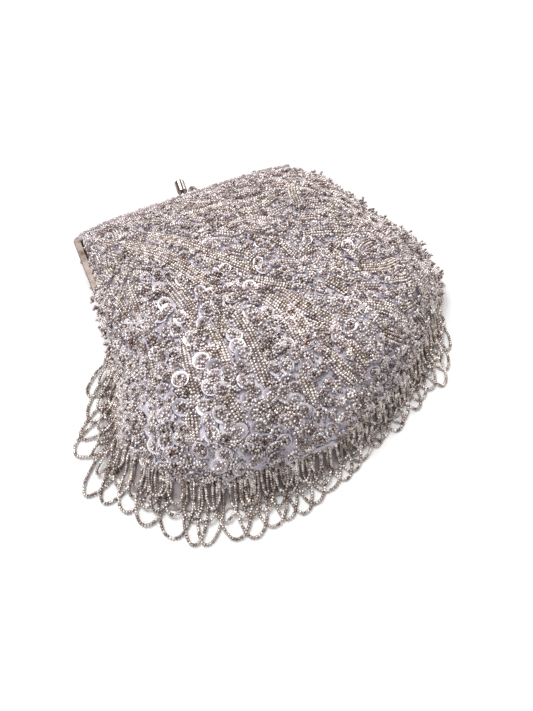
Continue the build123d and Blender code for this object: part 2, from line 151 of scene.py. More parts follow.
class Surface:
    def __init__(self, kind, inset, d0, d1, rows=240, cols=201):
        self.kind, self.inset = kind, inset
        self.d = np.linspace(d0, d1, rows)
        self.t = np.linspace(-1, 1, cols)
        ph = np.sin(np.linspace(-math.pi / 2, math.pi / 2, 321))
        pts, half = [], []
        for d in self.d:
            if kind == "front":
                bare = 3.9 * (1 - float(smooth((d - 36.0) / 16.0)))
                wl, wr = side(d, -1) - inset - bare, side(d, 1) - inset
                base, top, q, p = front_edge(d), crown(d) - inset, 3.6, 0.75
            elif kind == "rear":
                wl, wr = side(d, -1) - inset, side(d, 1) - inset
                base, top, q, p = back_edge(d), belly(d) + inset, 4.0, 0.6
            elif kind == "front_in":
                wl, wr = lining_side(d, -1) - inset, lining_side(d, 1) - inset
                base, top, q, p = seam(d) + 0.3, crown(d) - BEAD_T - SATIN_T - 1.1 - inset, 3.6, 0.75
            else:
                wl, wr = lining_side(d, -1) - inset, lining_side(d, 1) - inset
                base, top, q, p = seam(d) - 0.3, belly(d) + BEAD_T + SATIN_T + 1.7 + inset, 4.0, 0.6
            wl, wr = max(wl, 0.5), max(wr, 0.5)
            z = base + (top - base) * np.maximum(0.0, 1 - np.abs(ph) ** q) ** p
            x = X0 + np.where(ph > 0, ph * wr, ph * wl)
            seg = np.hypot(np.diff(x), np.diff(z))
            s = np.concatenate([[0], np.cumsum(seg)])
            s = s - np.interp(X0, x, s)
            half.append((-s[0], s[-1]))
            su = np.where(self.t < 0, self.t * -s[0], self.t * s[-1])
            pts.append(np.stack([np.interp(su, s, x), np.full(cols, Y_TOP - d), np.interp(su, s, z)], -1))
        self.P = np.array(pts)
        self.L = np.array(half)
        self.up = 1.0 if kind in ("front", "front_in") else -1.0
        n = self.normals()
        # soft lumps and hollows, dying out at the frame and the seam
        amp = {"front": 1.15, "rear": 0.5, "front_in": 0.9, "rear_in": 0.4}[kind]
        x, dd = self.P[..., 0] - X0, Y_TOP - self.P[..., 1]
        h = np.zeros_like(x)
        for wl, ang, ph_, a in LUMPS:
            h += a * np.sin(2 * math.pi * (x * math.cos(ang) + dd * math.sin(ang)) / wl + ph_)
        edge = np.clip((1 - np.abs(self.t))[None, :] * 4.5, 0, 1) * np.clip((dd - 8) / 40, 0, 1) * np.clip((183 - dd) / 18, 0, 1)
        self.P = self.P + n * (h * amp * edge)[..., None]
        if kind == "rear":
            self.P[..., 2] = np.maximum(self.P[..., 2], inset + 0.02)
        self.N = self.normals()

    def normals(self):
        du, dv = np.gradient(self.P, axis=1), np.gradient(self.P, axis=0)
        n = np.cross(dv, du)
        n *= self.up * np.sign(n[:, len(self.t) // 2, 2].mean())
        return n / (np.linalg.norm(n, axis=-1, keepdims=True) + 1e-9)

    def at(self, s, d):
        """position and outward normal at arrays of (s, d)"""
        s, d = np.atleast_1d(s).astype(float), np.atleast_1d(d).astype(float)
        j = np.clip((d - self.d[0]) / (self.d[-1] - self.d[0]) * (len(self.d) - 1), 0, len(self.d) - 1.001)
        j0 = j.astype(int); fj = (j - j0)[:, None]
        ll = self.L[j0, 0] * (1 - fj[:, 0]) + self.L[j0 + 1, 0] * fj[:, 0]
        lr = self.L[j0, 1] * (1 - fj[:, 0]) + self.L[j0 + 1, 1] * fj[:, 0]
        t = np.where(s < 0, s / ll, s / lr)
        k = np.clip((t + 1) / 2 * (len(self.t) - 1), 0, len(self.t) - 1.001)
        k0 = k.astype(int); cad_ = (k - k0)[:, None]
        def lerp(A):
            return ((A[j0, k0] * (1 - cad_) + A[j0, k0 + 1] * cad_) * (1 - fj)
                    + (A[j0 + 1, k0] * (1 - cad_) + A[j0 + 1, k0 + 1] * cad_) * fj)
        n = lerp(self.N)
        return lerp(self.P), n / (np.linalg.norm(n, axis=-1, keepdims=True) + 1e-9)

    def s_of_x(self, x, d):
        """arc length at plan position x (from the centre line) in the row at d"""
        j = int(np.clip(round((d - self.d[0]) / (self.d[-1] - self.d[0]) * (len(self.d) - 1)), 0, len(self.d) - 1))
        row = self.P[j, :, 0] - X0
        su = np.where(self.t < 0, self.t * self.L[j, 0], self.t * self.L[j, 1])
        return float(np.interp(x, row, su))

    def half(self, d):
        d = np.atleast_1d(d)
        return np.interp(d, self.d, self.L[:, 0]), np.interp(d, self.d, self.L[:, 1])


FRONT = Surface("front", 0.0, 0.6, 184.9)
REAR = Surface("rear", 0.0, 0.6, 184.9)

# ---------------------------------------------------------------------------
# Materials, all from nodes
# ---------------------------------------------------------------------------


def new_mat(name, base, rough, metallic=0.0, **sockets):
    m = bpy.data.materials.new(name)
    m.use_nodes = True
    nt = m.node_tree
    b = nt.nodes["Principled BSDF"]
    b.inputs["Base Color"].default_value = (*base, 1)
    b.inputs["Roughness"].default_value = rough
    b.inputs["Metallic"].default_value = metallic
    for k, v in sockets.items():
        b.inputs[k.replace("_", " ")].default_value = v
    m.diffuse_color = (*base, 1)
    return m, nt, b


def node(nt, kind, **props):
    n = nt.nodes.new(kind)
    for k, v in props.items():
        if k.startswith("in_"):
            n.inputs[k[3:].replace("_", " ")].default_value = v
        else:
            setattr(n, k, v)
    return n


def coords(nt):
    return node(nt, "ShaderNodeTexCoord").outputs["Object"]


def ramp(nt, fac, stops):
    r = node(nt, "ShaderNodeValToRGB")
    el = r.color_ramp.elements
    while len(el) < len(stops):
        el.new(0.5)
    for e, (p, c) in zip(el, stops):
        e.position = p
        e.color = (*c, 1) if len(c) == 3 else c
    nt.links.new(fac, r.inputs["Fac"])
    return r


def bead_material(name, stops, rough, metallic, broad=(0.82, 1.0), coat=0.35, rlo=None):
    """glass beads with a metal lining: each bead has its own tint"""
    m, nt, b = new_mat(name, stops[len(stops) // 2][1], rough, metallic)
    co = coords(nt)
    cells = node(nt, "ShaderNodeTexVoronoi", in_Scale=560.0)
    nt.links.new(co, cells.inputs["Vector"])
    bw = node(nt, "ShaderNodeSeparateColor")
    nt.links.new(cells.outputs["Color"], bw.inputs[0])
    r = ramp(nt, bw.outputs[0], stops)
    patch = node(nt, "ShaderNodeTexNoise", in_Scale=42.0, in_Detail=3.0)
    nt.links.new(co, patch.inputs["Vector"])
    pr = ramp(nt, patch.outputs["Fac"], [(0.34, (broad[0],) * 3), (0.66, (broad[1],) * 3)])
    mix = node(nt, "ShaderNodeMix", data_type="RGBA", blend_type="MULTIPLY")
    mix.inputs["Factor"].default_value = 1.0
    nt.links.new(r.outputs["Color"], mix.inputs[6])
    nt.links.new(pr.outputs["Color"], mix.inputs[7])
    nt.links.new(mix.outputs[2], b.inputs["Base Color"])
    rr = node(nt, "ShaderNodeMapRange")
    nt.links.new(bw.outputs[1], rr.inputs["Value"])
    rr.inputs["To Min"].default_value = rough if rlo is None else rlo
    rr.inputs["To Max"].default_value = rough + 0.2
    nt.links.new(rr.outputs[0], b.inputs["Roughness"])
    b.inputs["Coat Weight"].default_value = coat
    b.inputs["Coat Roughness"].default_value = 0.12
    return m


SILVER = [(0.0, (0.21, 0.145, 0.13)), (0.22, (0.42, 0.335, 0.32)), (0.5, (0.62, 0.535, 0.525)),
          (0.78, (0.79, 0.715, 0.71)), (1.0, (0.94, 0.90, 0.90))]
CHAMP = [(0.0, (0.26, 0.19, 0.15)), (0.3, (0.49, 0.40, 0.35)), (0.55, (0.65, 0.565, 0.53)),
         (0.8, (0.86, 0.78, 0.735)), (1.0, (0.97, 0.93, 0.90))]
# The red-brown first stop gives a few smoke beads a painted reflection of a red object near the bag; it is not a bead
# colour.
BROWN = [(0.0, (0.20, 0.05, 0.035)), (0.05, (0.14, 0.095, 0.08)), (0.35, (0.32, 0.25, 0.23)), (0.65, (0.52, 0.44, 0.425)),
         (1.0, (0.84, 0.77, 0.76))]

M_BEAD = bead_material("bead_silver_lined", SILVER, 0.28, 0.62)
M_CHAMP = bead_material("bead_champagne", CHAMP, 0.25, 0.66)
M_BROWN = bead_material("bead_smoke", BROWN, 0.28, 0.6)
M_FRINGE = bead_material("bead_fringe_smoke", [(0.0, (0.17, 0.125, 0.10)), (0.3, (0.38, 0.31, 0.275)), (0.6, (0.58, 0.495, 0.46)),
                                             (0.85, (0.84, 0.755, 0.71)), (1.0, (1.0, 0.95, 0.90))], 0.24, 0.66)
M_REARB = bead_material("bead_rear", SILVER, 0.3, 0.7)

# cup sequins: pearly film, brighter towards white, with a little colour play
m, nt, b = new_mat("sequin_pearl", (0.70, 0.67, 0.72), 0.28, 0.2)
co = coords(nt)
cell = node(nt, "ShaderNodeTexVoronoi", in_Scale=150.0)
nt.links.new(co, cell.inputs["Vector"])
sp = node(nt, "ShaderNodeSeparateColor")
nt.links.new(cell.outputs["Color"], sp.inputs[0])
r = ramp(nt, sp.outputs[0], [(0.0, (0.42, 0.39, 0.44)), (0.35, (0.55, 0.52, 0.585)), (0.7, (0.67, 0.635, 0.70)), (1.0, (0.88, 0.86, 0.90))])
nt.links.new(r.outputs["Color"], b.inputs["Base Color"])
b.inputs["Coat Weight"].default_value = 0.25
b.inputs["Coat Roughness"].default_value = 0.12
b.inputs["Specular IOR Level"].default_value = 0.5
fine = node(nt, "ShaderNodeTexNoise", in_Scale=900.0, in_Detail=2.0)
nt.links.new(co, fine.inputs["Vector"])
bump = node(nt, "ShaderNodeBump", in_Strength=0.12, in_Distance=0.0002)
nt.links.new(fine.outputs["Fac"], bump.inputs["Height"])
nt.links.new(bump.outputs["Normal"], b.inputs["Normal"])
M_SEQUIN = m


def weave_material(name, lit, deep, scale, rough, sheen, bump_strength, broad_scale=30.0):
    """close woven cloth: two thread directions, slightly uneven"""
    m, nt, b = new_mat(name, lit, rough)
    co = coords(nt)
    w1 = node(nt, "ShaderNodeTexWave", wave_type="BANDS", bands_direction="X", in_Scale=scale, in_Distortion=1.2, in_Detail=1.0)
    w2 = node(nt, "ShaderNodeTexWave", wave_type="BANDS", bands_direction="Y", in_Scale=scale * 0.9, in_Distortion=1.2, in_Detail=1.0)
    nt.links.new(co, w1.inputs["Vector"]); nt.links.new(co, w2.inputs["Vector"])
    mx = node(nt, "ShaderNodeMath", operation="MULTIPLY")
    nt.links.new(w1.outputs["Fac"], mx.inputs[0]); nt.links.new(w2.outputs["Fac"], mx.inputs[1])
    no = node(nt, "ShaderNodeTexNoise", in_Scale=broad_scale, in_Detail=4.0)
    nt.links.new(co, no.inputs["Vector"])
    ad = node(nt, "ShaderNodeMath", operation="MULTIPLY_ADD")
    nt.links.new(mx.outputs[0], ad.inputs[0]); ad.inputs[1].default_value = 0.35
    nt.links.new(no.outputs["Fac"], ad.inputs[2])
    r = ramp(nt, ad.outputs[0], [(0.32, deep), (0.78, lit)])
    nt.links.new(r.outputs["Color"], b.inputs["Base Color"])
    bp = node(nt, "ShaderNodeBump", in_Strength=bump_strength, in_Distance=0.0002)
    nt.links.new(mx.outputs[0], bp.inputs["Height"])
    nt.links.new(bp.outputs["Normal"], b.inputs["Normal"])
    b.inputs["Sheen Weight"].default_value = sheen
    b.inputs["Sheen Roughness"].default_value = 0.4
    return m


M_SATIN = weave_material("satin_lilac", (0.74, 0.70, 0.80), (0.44, 0.41, 0.49), 900.0, 0.42, 0.35, 0.25)
# fringe tape: partly the tape's own beige, darkened as painted shade for the shaded table inside the loops
M_TAPE_AND_PAINTED_SHADE = weave_material("fringe_net_and_painted_shade", (0.56, 0.50, 0.50), (0.30, 0.26, 0.265), 700.0, 0.6, 0.2, 0.3, 60.0)
M_LINING = weave_material("lining_rayon", (0.66, 0.63, 0.66), (0.50, 0.47, 0.50), 1200.0, 0.5, 0.2, 0.2, 18.0)


def metal_material(name, tint, worn, rough, scratch=0.5, rust=0.0):
    m, nt, b = new_mat(name, tint, rough, 1.0)
    co = coords(nt)
    n1 = node(nt, "ShaderNodeTexNoise", in_Scale=160.0, in_Detail=6.0)
    nt.links.new(co, n1.inputs["Vector"])
    stops = [(0.30, worn), (0.52, tint), (0.8, tuple(min(1, c * 1.1) for c in tint))]
    r = ramp(nt, n1.outputs["Fac"], stops)
    last = r.outputs["Color"]
    if rust > 0:
        n2 = node(nt, "ShaderNodeTexNoise", in_Scale=95.0, in_Detail=5.0)
        nt.links.new(co, n2.inputs["Vector"])
        rr = ramp(nt, n2.outputs["Fac"], [(0.60, (0, 0, 0)), (0.70, (rust, rust, rust))])
        mx = node(nt, "ShaderNodeMix", data_type="RGBA")
        nt.links.new(rr.outputs["Color"], mx.inputs["Factor"])
        nt.links.new(last, mx.inputs[6])
        mx.inputs[7].default_value = (0.12, 0.055, 0.03, 1)
        # the plating has gone at the outer corners
        near = node(nt, "ShaderNodeVectorMath", operation="DISTANCE")
        nt.links.new(co, near.inputs[0])
        near.inputs[1].default_value = ((X0 - 72.0) * MM, (Y_TOP - 2.0) * MM, FRONT_HI * MM)
        fade = node(nt, "ShaderNodeMapRange")
        nt.links.new(near.outputs["Value"], fade.inputs["Value"])
        fade.inputs["From Min"].default_value = 0.002
        fade.inputs["From Max"].default_value = 0.010
        fade.inputs["To Min"].default_value = 0.17
        fade.inputs["To Max"].default_value = 0.0
        add_ = node(nt, "ShaderNodeMath", operation="ADD")
        nt.links.new(n2.outputs["Fac"], add_.inputs[0])
        nt.links.new(fade.outputs[0], add_.inputs[1])
        nt.links.new(add_.outputs[0], rr.inputs["Fac"])
        last = mx.outputs[2]
    nt.links.new(last, b.inputs["Base Color"])
    n3 = node(nt, "ShaderNodeTexNoise", in_Scale=420.0, in_Detail=3.0)
    nt.links.new(co, n3.inputs["Vector"])
    mr = node(nt, "ShaderNodeMapRange")
    nt.links.new(n3.outputs["Fac"], mr.inputs["Value"])
    mr.inputs["To Min"].default_value = rough
    mr.inputs["To Max"].default_value = rough + 0.16
    nt.links.new(mr.outputs[0], b.inputs["Roughness"])
    st = node(nt, "ShaderNodeTexNoise", in_Scale=300.0, in_Detail=4.0)
    mp = node(nt, "ShaderNodeMapping")
    mp.inputs["Scale"].default_value = (0.25, 4.0, 4.0)
    nt.links.new(co, mp.inputs["Vector"]); nt.links.new(mp.outputs[0], st.inputs["Vector"])
    bp = node(nt, "ShaderNodeBump", in_Strength=0.06 * scratch, in_Distance=0.0001)
    nt.links.new(st.outputs["Fac"], bp.inputs["Height"])
    nt.links.new(bp.outputs["Normal"], b.inputs["Normal"])
    return m


M_FRAME = metal_material("frame_plate", (0.42, 0.345, 0.315), (0.24, 0.18, 0.155), 0.36, 1.0, 0.85)
M_KNOB = metal_material("clasp_plate", (0.40, 0.345, 0.32), (0.24, 0.195, 0.175), 0.12, 0.3, 0.0)
M_RING = metal_material("ring_wire", (0.13, 0.105, 0.095), (0.07, 0.05, 0.045), 0.3, 0.6, 0.3)

# ---------------------------------------------------------------------------
# Mesh building
# ---------------------------------------------------------------------------


def make_object(name, verts, faces, mat, smooth_shade=True):
    me = bpy.data.meshes.new(name)
    me.vertices.add(len(verts))
    me.vertices.foreach_set("co", (np.asarray(verts, dtype=np.float32) * MM).ravel())
    if isinstance(faces, np.ndarray):
        k = faces.shape[1]
        n = len(faces)
        me.loops.add(n * k)
        me.loops.foreach_set("vertex_index", faces.astype(np.int32).ravel())
        me.polygons.add(n)
        me.polygons.foreach_set("loop_start", np.arange(0, n * k, k, dtype=np.int32))
        me.polygons.foreach_set("loop_total", np.full(n, k, dtype=np.int32))
    else:
        sizes = np.array([len(f) for f in faces], dtype=np.int32)
        me.loops.add(int(sizes.sum()))
        me.loops.foreach_set("vertex_index", np.fromiter((i for f in faces for i in f), dtype=np.int32))
        me.polygons.add(len(faces))
        me.polygons.foreach_set("loop_start", np.concatenate([[0], np.cumsum(sizes)[:-1]]).astype(np.int32))
        me.polygons.foreach_set("loop_total", sizes)
    me.update(calc_edges=True)
    me.validate()
    if smooth_shade:
        me.polygons.foreach_set("use_smooth", np.ones(len(me.polygons), dtype=bool))
    me.materials.append(mat)
    o = bpy.data.objects.new(name, me)
    bpy.context.scene.collection.objects.link(o)
    return o


def lathe(profile, seg):
    """closed solid of revolution about Z as triangles: profile is (r, z) from the
    bottom pole to the top pole, both with r = 0"""
    v, f = [(0, 0, profile[0][1])], []
    inner = profile[1:-1]
    for r_, z_ in inner:
        for i in range(seg):
            a = 2 * math.pi * i / seg
            v.append((r_ * math.cos(a), r_ * math.sin(a), z_))
    v.append((0, 0, profile[-1][1]))
    top = len(v) - 1
    for i in range(seg):
        j = (i + 1) % seg
        f.append((0, 1 + j, 1 + i))
        for k in range(len(inner) - 1):
            a, b_ = 1 + k * seg, 1 + (k + 1) * seg
            f.append((a + i, a + j, b_ + j)); f.append((a + i, b_ + j, b_ + i))
        a = 1 + (len(inner) - 1) * seg
        f.append((a + i, a + j, top))
    return np.array(v, float), np.array(f, int)


def bead_template(r, length, seg=8):
    """seed bead along Z: a short barrel"""
    h = length / 2
    return lathe([(0, -h * 0.92), (r * 0.62, -h), (r * 0.97, -h * 0.5), (r * 0.97, h * 0.5), (r * 0.62, h), (0, h * 0.92)], seg)


def cup_template(r, seg=18):
    """cup sequin: a shallow faceted cup with a turned-up rim, as a thin closed shell"""
    t = 0.13
    lo = [(0, 0.0), (r * 0.30, 0.0), (r * 0.62, 0.14 * r), (r * 0.97, 0.30 * r), (r * 1.0, 0.315 * r)]
    hi = [(r * 0.96, 0.30 * r + t * 0.9), (r * 0.60, 0.14 * r + t), (r * 0.28, t), (0, t)]
    return lathe(lo + hi, seg)


def instance(template, pos, zax, xax, scale=None):
    """copies of the template with their local z along zax and x near xax"""
    tv, tf = template
    z = zax / (np.linalg.norm(zax, axis=1, keepdims=True) + 1e-9)
    y = np.cross(z, xax); y /= (np.linalg.norm(y, axis=1, keepdims=True) + 1e-9)
    x = np.cross(y, z)
    n = len(pos)
    s = np.ones(n) if scale is None else scale
    v = (tv[None, :, 0:1] * x[:, None] + tv[None, :, 1:2] * y[:, None] + tv[None, :, 2:3] * z[:, None]) * s[:, None, None] + pos[:, None]
    v[:, :, 2] += np.maximum(0.03 - v[:, :, 2].min(1), 0)[:, None]
    f = tf[None] + (np.arange(n) * len(tv))[:, None, None]
    return v.reshape(-1, 3), f.reshape(-1, 3)


class Pile:
    """beads collected by material, written out as a few meshes"""
    def __init__(self):
        self.items = {}

    def add(self, key, v, f):
        self.items.setdefault(key, []).append((v, f))

    def write(self, prefix, mats, slot, attach):
        out = []
        for key, parts in self.items.items():
            off, V, F = 0, [], []
            for v, f in parts:
                V.append(v); F.append(f + off); off += len(v)
            V, F = np.concatenate(V), np.concatenate(F)
            step = 180000
            for c in range(0, len(F), step):
                fc = F[c:c + step]
                used, inv = np.unique(fc, return_inverse=True)
                nm = f"{prefix}_{key}" + (f"_{c // step + 1}" if len(F) > step else "")
                o = make_object(nm, V[used], inv.reshape(-1, 3), mats[key])
                attach(o)
                out.append(o)
        return out

# ---------------------------------------------------------------------------
# Where beads go
# ---------------------------------------------------------------------------
BEAD = bead_template(0.86, 1.36)
BEAD_S = bead_template(0.80, 1.24, 7)
CUP = cup_template(4.0)

# leaf-shaped bands of parallel bead strands on the front: (x from the centre
# line, d) along the middle of each, and number of strands
BANDS = [
    ([(-53, 22), (-39, 52), (-26, 80), (-17, 104)], 6),
    ([(4, 56), (22, 56), (38, 70)], 4),
    ([(-37, 28), (-22, 54), (-9, 74)], 5),
    ([(-56, 62), (-57.5, 78), (-60, 96)], 4),
    ([(-43, 106), (-46.5, 127), (-49, 141), (-51, 152)], 4),
    ([(-55, 150), (-58, 158), (-60, 166)], 4),
    ([(-17, 106), (-16, 129), (-18, 148), (-19, 160)], 5),
    ([(-22, 162), (-21, 169), (-18, 174)], 4),
    ([(0, 106), (7, 126), (11, 146)], 6),
    ([(9, 110), (14, 125), (21, 136), (28, 145)], 6),
    ([(7, 117), (5, 133), (3, 147)], 4),
    ([(12, 150), (16, 163), (22, 172)], 5),
    ([(24, 149), (28, 160), (30, 168)], 4),
    ([(47, 114), (66, 118), (84, 113)], 5),
    ([(40, 135), (52, 141), (64, 148)], 5),
    ([(35, 82), (52, 86), (70, 96)], 4),
    ([(30, 113), (37, 122), (41, 131)], 4),
    ([(-16, 67), (-4, 84), (8, 98)], 5),
    ([(-61, 108), (-64.5, 130), (-68, 146)], 3),
    ([(-2, 154), (-2, 166), (-2, 174)], 4),
    ([(42, 152), (52, 156), (58, 157)], 4),
    ([(70, 52), (80, 60), (88, 74)], 4),
    ([(-39, 77), (-36.5, 92), (-34.5, 110)], 5),
    ([(-1, 96), (8, 106), (18, 115)], 4),
    ([(46, 40), (30, 47), (14, 44)], 4),
    ([(20, 26), (4, 33), (-12, 30)], 4),
    ([(60, 30), (52, 46), (48, 62)], 4),
    ([(90, 88), (92, 104), (84, 120)], 4),
    ([(72, 76), (80, 84), (92, 86)], 4),
    ([(-60, 30), (-62, 44), (-60, 56)], 3),
    ([(-30, 112), (-31, 130), (-33, 146)], 4),
    ([(-70, 118), (-74, 132), (-76, 142)], 3),
    ([(66, 128), (76, 128), (82, 124)], 4),
    ([(52, 62), (60, 72), (62, 84)], 3),
    ([(16, 74), (24, 84), (28, 98)], 4),
    ([(-38, 150), (-38, 160), (-36, 168)], 4),
]


def curve_points(ctrl, n=60):
    """smooth curve through the control points"""
    c = np.array(ctrl, float)
    p = np.vstack([2 * c[0] - c[1], c, 2 * c[-1] - c[-2]])
    out = []
    for i in range(1, len(p) - 2):
        for t in np.linspace(0, 1, n, endpoint=False):
            a, b_, c_, d_ = p[i - 1], p[i], p[i + 1], p[i + 2]
            out.append(0.5 * ((2 * b_) + (-a + c_) * t + (2 * a - 5 * b_ + 4 * c_ - d_) * t**2 + (-a + 3 * b_ - 3 * c_ + d_) * t**3))
    out.append(p[-2])
    return np.array(out)


class Layout:
    def __init__(self, surf, seed):
        self.surf = surf
        self.rng = np.random.default_rng(seed)
        self.grid = {}

    def mark(self, p, r):
        """this place is taken, out to r"""
        for q in np.atleast_2d(p):
            self.grid.setdefault((int(q[0] // 8), int(q[1] // 8), int(q[2] // 8)), []).append((q[0], q[1], q[2], r))

    def free(self, p, r):
        gx, gy, gz = int(p[0] // 8), int(p[1] // 8), int(p[2] // 8)
        for a in (-1, 0, 1):
            for b_ in (-1, 0, 1):
                for c in (-1, 0, 1):
                    for q in self.grid.get((gx + a, gy + b_, gz + c), ()):
                        if (q[0] - p[0])**2 + (q[1] - p[1])**2 + (q[2] - p[2])**2 < (q[3] + r)**2:
                            return False
        return True

    def strand(self, line_sd, lift, step=1.48):
        """bead places along a line of (s, d), a step apart in space"""
        P, N = self.surf.at(line_sd[:, 0], line_sd[:, 1])
        seg = np.linalg.norm(np.diff(P, axis=0), axis=1)
        c = np.concatenate([[0], np.cumsum(seg)])
        if c[-1] < 3.0:
            return None
        u = np.arange(step / 2, c[-1], step)
        sd = np.stack([np.interp(u, c, line_sd[:, 0]), np.interp(u, c, line_sd[:, 1])], -1)
        P, N = self.surf.at(sd[:, 0], sd[:, 1])
        T = np.gradient(P, axis=0) if len(P) > 1 else np.array([[1.0, 0, 0]])
        if np.ndim(lift) and len(lift) != len(P):
            lift = np.interp(np.linspace(0, 1, len(P)), np.linspace(0, 1, len(lift)), lift)
        P = P + N * (np.asarray(lift).reshape(-1, 1) if np.ndim(lift) else lift)
        return P, N, T


def lay_front(surf, pile, seed, bands, rosette_gap, fill_gap, border=True, depth=-1.15):
    L = Layout(surf, seed)
    rng = L.rng
    # a border of seed beads in rows along the frame
    if border:
        for row in range(3):
            d = 2.0 + row * 1.75
            l, r_ = surf.half(d)
            line = np.stack([np.linspace(-l[0] + 2.5, r_[0] - 2.5, 260), np.full(260, d)], -1)
            line[:, 1] += 0.25 * np.sin(np.linspace(0, 60, 260) + row * 2)
            st = L.strand(line, depth + 0.15)
            P, N, T = st
            P = P + rng.normal(0, 0.12, P.shape)
            pile.add("silver", *instance(BEAD, P, T, N, rng.uniform(0.9, 1.08, len(P))))
            L.mark(P, 0.8)
    # leaf bands
    for ctrl, k in bands:
        mid = curve_points([(surf.s_of_x(x, d), d) for x, d in ctrl])
        n = len(mid)
        tan = np.gradient(mid, axis=0)
        tan /= np.linalg.norm(tan, axis=1, keepdims=True) + 1e-9
        nor = np.stack([-tan[:, 1], tan[:, 0]], -1)
        u = np.linspace(0, 1, n)
        width = (k - 1) * 1.68 / 2
        shape = np.sin(np.pi * np.clip(u, 0, 1)) ** 0.45
        for i in range(k):
            w = (i - (k - 1) / 2) * 1.68
            # outer strands are shorter, so the band ends in a point
            e = 0.02 + 0.14 * abs(w) / max(width, 0.1)
            lo, hi = e + rng.uniform(0, 0.05), 1 - e - rng.uniform(0, 0.05)
            keep = (u >= lo) & (u <= hi)
            line = mid[keep] + nor[keep] * (w * (0.55 + 0.45 * shape[keep]))[:, None]
            d_ok = (line[:, 1] > 7.2) & (line[:, 1] < 184.0)
            line = line[d_ok]
            if len(line) < 8:
                continue
            uu = np.linspace(0, 1, len(line))
            lift = depth + 0.35 + 0.75 * (1 - (w / (width + 1.2))**2) * np.sin(np.pi * uu) ** 0.5
            st = L.strand(line, lift)
            if st is None:
                continue
            P, N, T = st
            P = P + rng.normal(0, 0.07, P.shape)
            T = T + rng.normal(0, 0.10, T.shape) * np.linalg.norm(T, axis=1, keepdims=True)
            key = "champagne" if rng.random() < 0.75 else "silver"
            pile.add(key, *instance(BEAD, P, T, N, rng.uniform(0.93, 1.04, len(P))))
            L.mark(P - N * 0.4, 0.85)
    # short leaf groups that fill most of the upper and right part
    tries = 900
    dd = rng.uniform(10, 150, tries)
    l, r_ = surf.half(dd)
    ss = rng.uniform(0, 1, tries) * (l + r_) - l
    P, N = surf.at(ss, dd)
    groups = 0
    for i in range(tries):
        x = P[i, 0] - X0 if surf.up > 0 else X0 - P[i, 0]
        want = np.clip(1.15 - dd[i] / 95.0, 0, 1) * 0.9 + np.clip(x / 90.0, 0, 0.75)
        if rng.random() > want or not L.free(P[i], 4.2):
            continue
        k = int(rng.integers(3, 6))
        ln = rng.uniform(9, 17)
        ang = math.radians(62 - 56 * float(np.clip((x + 55) / 120, 0, 1)) + rng.normal(0, 22))
        if surf.up < 0:
            ang = math.pi - ang
        dirv = np.array([math.cos(ang), math.sin(ang)])
        bend = rng.normal(0, 0.022)
        u = np.linspace(-1, 1, 50)
        a_ = ang + bend * u * ln / 2
        mid = np.stack([ss[i] + np.cumsum(np.cos(a_)) * ln / 50, dd[i] + np.cumsum(np.sin(a_)) * ln / 50], -1)
        mid -= mid[25] - np.array([ss[i], dd[i]])
        nor = np.stack([-np.sin(a_), np.cos(a_)], -1)
        half_w = (k - 1) * 1.66 / 2
        for j in range(k):
            w = (j - (k - 1) / 2) * 1.66
            cut = 0.12 * abs(w) / max(half_w, 0.1) + rng.uniform(0, 0.08)
            line = (mid + nor * w)[int(50 * cut):int(50 * (1 - cut))]
            hl, hr = surf.half(line[:, 1])
            ok = (line[:, 1] > 7.4) & (line[:, 1] < 183) & (line[:, 0] > -hl + 1.5) & (line[:, 0] < hr - 1.5)
            line = line[ok]
            if len(line) < 8:
                continue
            st = L.strand(line, depth + 0.3 + 0.75 * (1 - (w / (half_w + 1.0))**2))
            if st is None:
                continue
            Q, NN, T = st
            fr_ = np.array([L.free(q, 0.55) for q in Q])
            if fr_.sum() < 3:
                continue
            Q, NN, T = Q[fr_], NN[fr_], T[fr_]
            Q = Q + rng.normal(0, 0.08, Q.shape)
            key = ("champagne", "silver", "smoke")[int(rng.choice(3, p=[0.35, 0.40, 0.25]))]
            pile.add(key, *instance(BEAD_S, Q, T, NN, rng.uniform(0.96, 1.08, len(Q))))
            groups += 1
            P2 = Q - NN * 0.4
            line_done = P2
            for q in P2:
                L.mark(q, 0.30)
        L.mark(P[i], 4.0)
    # rosettes: a cup sequin under a flower of seed beads
    cand = []
    tries = 26000
    dd = rng.uniform(7.5, 184.2, tries)
    l, r_ = surf.half(dd)
    span = l + r_
    ss = rng.uniform(0, 1, tries) * span - l
    keep = rng.uniform(0, 1, tries) < span / span.max()
    dd, ss = dd[keep], ss[keep]
    P, N = surf.at(ss, dd)
    taken = Layout(surf, seed + 1)
    cups, cup_n, cup_d, cup_big = [], [], [], []
    edge = (ss > -surf.half(dd)[0] + 1.2) & (ss < surf.half(dd)[1] - 1.2)
    for i in range(len(P)):
        if not edge[i]:
            continue
